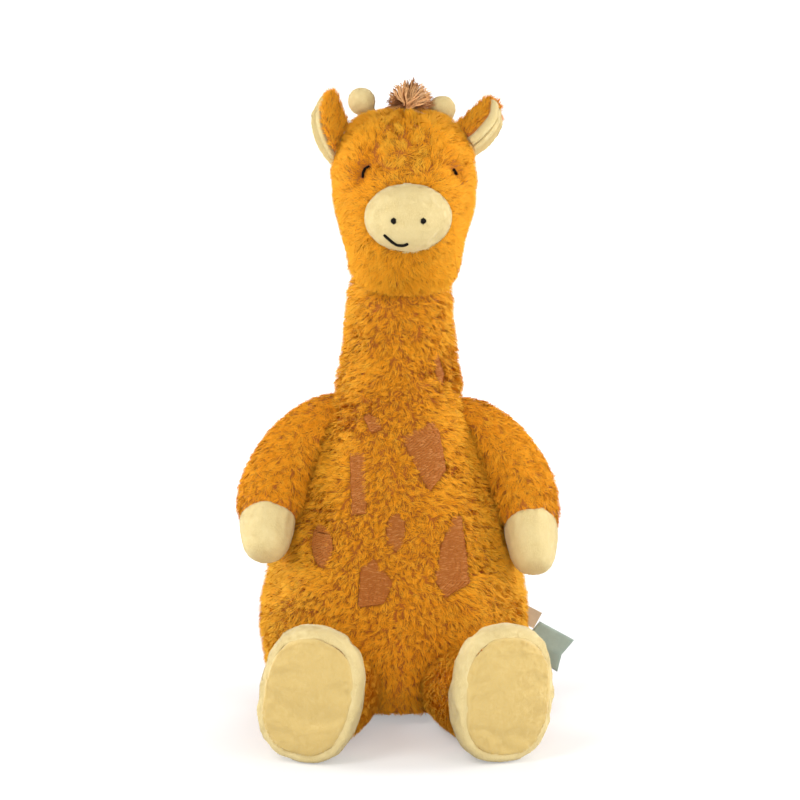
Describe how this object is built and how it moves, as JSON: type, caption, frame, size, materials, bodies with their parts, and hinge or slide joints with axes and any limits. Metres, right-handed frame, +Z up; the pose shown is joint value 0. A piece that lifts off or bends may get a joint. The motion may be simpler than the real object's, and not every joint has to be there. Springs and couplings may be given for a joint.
{
  "type": "plush giraffe",
  "caption": "Seated stuffed giraffe with a long neck, pear-shaped body, soft arms and stretched legs that swing at sewn joints, bare mitts and large flat soles.",
  "frame": {"origin": "middle of the flat seat, at floor level", "axes": "+Z up, -Y the way the toy faces, +X the toy's own left"},
  "size_m": [0.1629, 0.1847, 0.3111],
  "materials": {
    "orange_plush": "long pile fur cloth",
    "cream_velboa": "short pile velboa",
    "black_thread": "satin stitch",
    "brown_embroidery": "fill stitch",
    "brown_yarn": "stringy brushed yarn",
    "polyester_fibre": "loose filling",
    "pellet_pouch_cloth": "plain woven pouch",
    "woven_label": "woven tape",
    "grey_green_label": "satin tape"
  },
  "bodies": {
    "torso": {"body_skin": "orange_plush", "body_stuffing": "polyester_fibre", "pellet_pouch": "pellet_pouch_cloth", "spot_neck": "brown_embroidery", "spot_collar": "brown_embroidery", "spot_tall": "brown_embroidery", "spot_chest": "brown_embroidery", "spot_triangle": "brown_embroidery", "spot_diamond": "brown_embroidery", "spot_oval": "brown_embroidery", "spot_side": "brown_embroidery", "mane_neck": "brown_yarn", "label_woven": "woven_label", "label_square": "grey_green_label"},
    "head": {"head_skin": "orange_plush", "head_stuffing": "polyester_fibre", "muzzle": "cream_velboa", "nostril_left": "black_thread", "nostril_right": "black_thread", "smile": "black_thread", "eye_left": "black_thread", "eye_right": "black_thread", "ossicone_left": "cream_velboa", "ossicone_right": "cream_velboa", "mane_crown": "brown_yarn"},
    "ear_left": {"ear_back_left": "orange_plush", "ear_lining_left": "cream_velboa"},
    "ear_right": {"ear_back_right": "orange_plush", "ear_lining_right": "cream_velboa"},
    "arm_left": {"arm_sleeve_left": "orange_plush", "hand_left": "cream_velboa", "arm_stuffing_left": "polyester_fibre"},
    "arm_right": {"arm_sleeve_right": "orange_plush", "hand_right": "cream_velboa", "arm_stuffing_right": "polyester_fibre"},
    "leg_left": {"leg_skin_left": "orange_plush", "foot_upper_left": "cream_velboa", "sole_left": "cream_velboa", "leg_stuffing_left": "polyester_fibre"},
    "leg_right": {"leg_skin_right": "orange_plush", "foot_upper_right": "cream_velboa", "sole_right": "cream_velboa", "leg_stuffing_right": "polyester_fibre"},
    "tail": {"tail_tube": "orange_plush", "tail_tuft": "brown_yarn"}
  },
  "joints": [
    {"name": "head_nod", "type": "hinge", "parent": "torso", "child": "head", "pos_m": [0, 0, 0.215], "axis": [1, 0, 0], "range_deg": [-10, 15], "stiffness_Nm_per_rad": 0.2},
    {"name": "ear_bend_left", "type": "hinge", "parent": "head", "child": "ear_left", "pos_m": [0.02574, 0.00127, 0.289], "axis": [0.5439, 0.0285, -0.8387], "range_deg": [-15, 15], "stiffness_Nm_per_rad": 0.01},
    {"name": "ear_bend_right", "type": "hinge", "parent": "head", "child": "ear_right", "pos_m": [-0.02506, -0.00139, 0.2845], "axis": [-0.5439, -0.0285, -0.8387], "range_deg": [-15, 15], "stiffness_Nm_per_rad": 0.01},
    {"name": "arm_raise_left", "type": "hinge", "parent": "torso", "child": "arm_left", "pos_m": [0.034, 0, 0.147], "axis": [0, -1, 0], "range_deg": [0, 60], "stiffness_Nm_per_rad": 0.03},
    {"name": "arm_raise_right", "type": "hinge", "parent": "torso", "child": "arm_right", "pos_m": [-0.034, 0, 0.147], "axis": [0, 1, 0], "range_deg": [0, 60], "stiffness_Nm_per_rad": 0.03},
    {"name": "leg_swing_left", "type": "hinge", "parent": "torso", "child": "leg_left", "pos_m": [0.0265, -0.042, 0.0205], "axis": [-1, 0, 0], "range_deg": [-30, 15], "stiffness_Nm_per_rad": 0.15},
    {"name": "leg_swing_right", "type": "hinge", "parent": "torso", "child": "leg_right", "pos_m": [-0.0265, -0.042, 0.0205], "axis": [-1, 0, 0], "range_deg": [-30, 15], "stiffness_Nm_per_rad": 0.15},
    {"name": "tail_swing", "type": "hinge", "parent": "torso", "child": "tail", "pos_m": [0.00232, 0.05264, 0.03393], "axis": [0, 0, -1], "range_deg": [0, 60], "stiffness_Nm_per_rad": 0.01}
  ]
}
